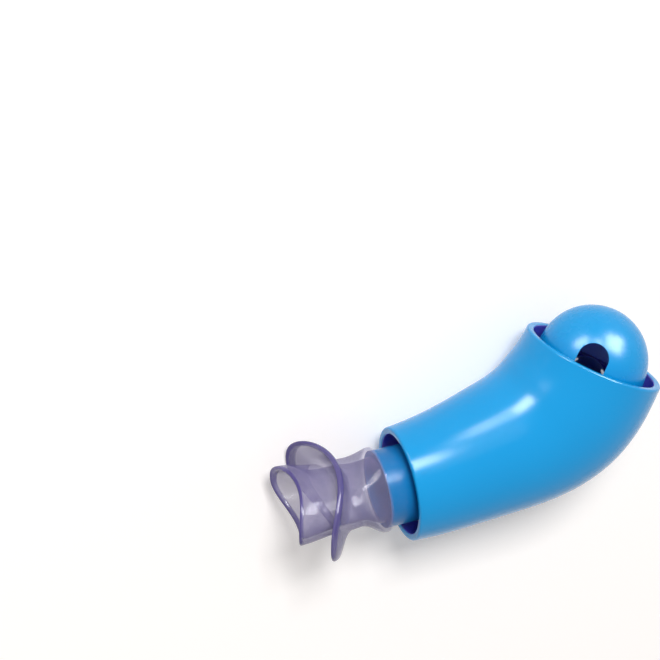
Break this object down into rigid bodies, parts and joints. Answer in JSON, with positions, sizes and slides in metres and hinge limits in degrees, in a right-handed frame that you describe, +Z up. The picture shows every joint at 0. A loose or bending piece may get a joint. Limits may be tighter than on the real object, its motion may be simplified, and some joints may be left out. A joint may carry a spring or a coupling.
{
  "type": "positive expiratory pressure device",
  "caption": "Curved flared hand-held breathing device: a mouthpiece on a spigot blows under a steel ball in a cone below a windowed domed cap.",
  "frame": {"origin": "centre of the bounding box's base, with the device lying on its side on a table", "axes": "+X from the mouthpiece towards the cap end along the inlet, +Y to the side that the cap points to, +Z up"},
  "size_m": [0.1566, 0.079, 0.06],
  "materials": {
    "shell_blue": "gloss, moulded",
    "carrier_navy": "satin, moulded",
    "tube_blue": "gloss, moulded",
    "cup_blue": "satin, moulded",
    "cone_navy": "satin, moulded",
    "ball_steel": "polished steel",
    "cap_blue": "gloss, moulded",
    "mouthpiece_clear": "clear lilac plastic, gloss"
  },
  "bodies": {
    "body": {"outer_shell": "shell_blue", "tube_carrier": "carrier_navy", "air_tube": "tube_blue", "ball_cup": "cup_blue", "seat_cone": "cone_navy"},
    "ball": {"steel_ball": "ball_steel"},
    "cap": {"cap": "cap_blue"},
    "mouthpiece": {"mouthpiece": "mouthpiece_clear"}
  },
  "joints": [
    {"name": "ball_lift", "type": "slide", "parent": "body", "child": "ball", "axis": [0.4893, 0.8678, 0.0869], "range_m": [0, 0.019]},
    {"name": "cap_lift", "type": "slide", "parent": "body", "child": "cap", "axis": [0.4893, 0.8678, 0.0869], "range_m": [0, 0.04]},
    {"name": "mouthpiece_turn", "type": "hinge", "parent": "body", "child": "mouthpiece", "pos_m": [-0.0398, -0.01665, 0.02643], "axis": [0.9998, 0, 0.0198], "continuous": true}
  ]
}
